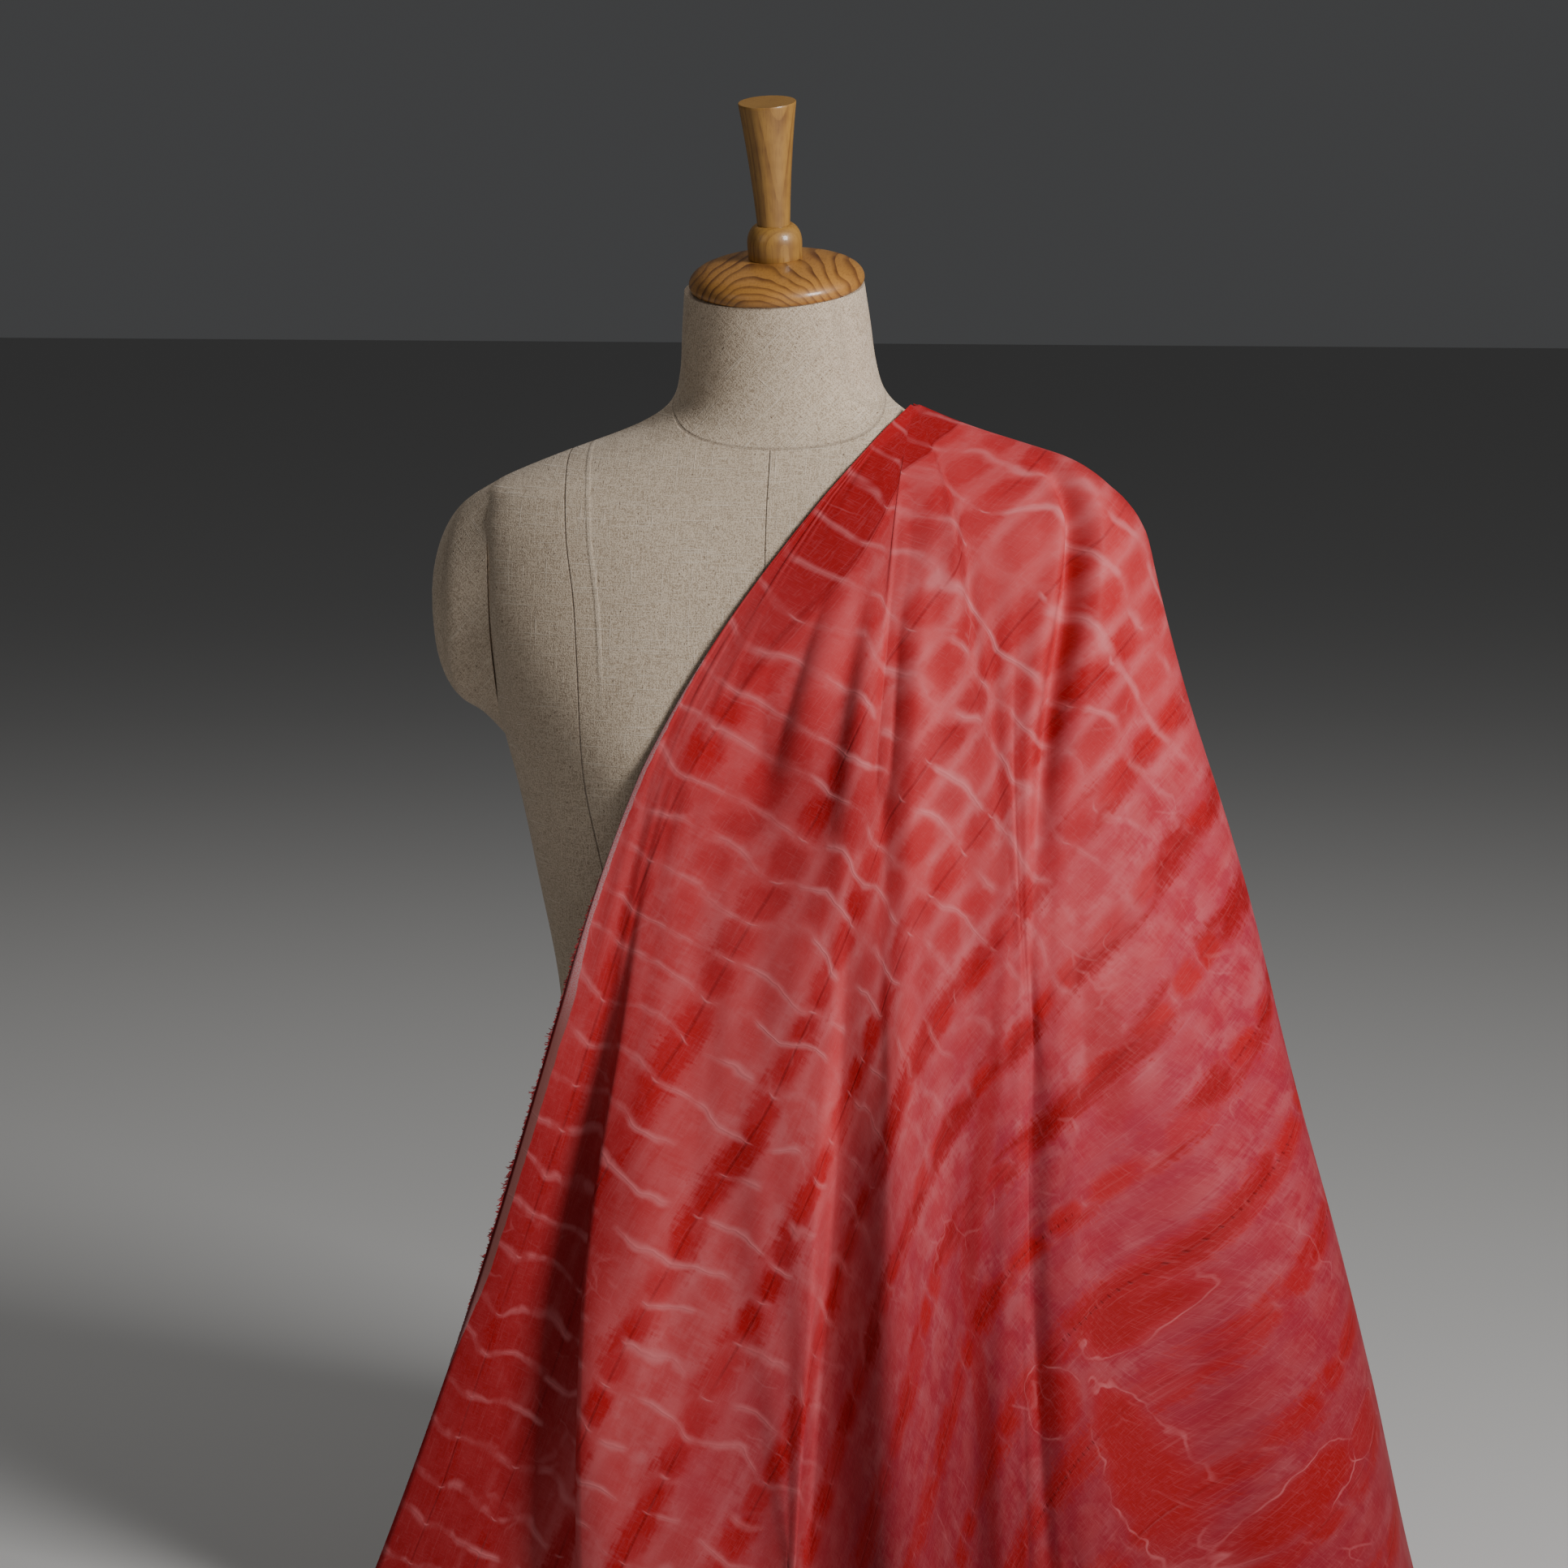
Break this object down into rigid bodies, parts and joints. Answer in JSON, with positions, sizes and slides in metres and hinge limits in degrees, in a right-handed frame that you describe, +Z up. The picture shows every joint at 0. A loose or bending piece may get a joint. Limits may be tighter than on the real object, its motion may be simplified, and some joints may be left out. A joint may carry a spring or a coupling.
{
  "type": "shibori silk fabric draped on a dress form",
  "caption": "Tie-dyed silk length draped over one shoulder of a linen-covered dress form with a turned wood neck cap and handle, standing on a flat base.",
  "frame": {"origin": "middle of the dress form's flat base, on the surface it stands on", "axes": "+Z up, -Y the way the form faces, +X the shoulder that the silk hangs from"},
  "size_m": [0.6885, 0.3946, 1.0006],
  "materials": {
    "silk": "thin woven silk, bound and dyed in red over pink, soft low sheen",
    "linen": "greige slubby linen cover, matt",
    "wood": "honey-coloured turned wood, clear varnish"
  },
  "bodies": {
    "root": {"silk": "silk", "dress_form": "linen", "arm_cap_right": "linen", "arm_cap_left": "linen", "neck_cap": "wood", "cap_collar": "wood", "handle": "wood"}
  },
  "joints": []
}
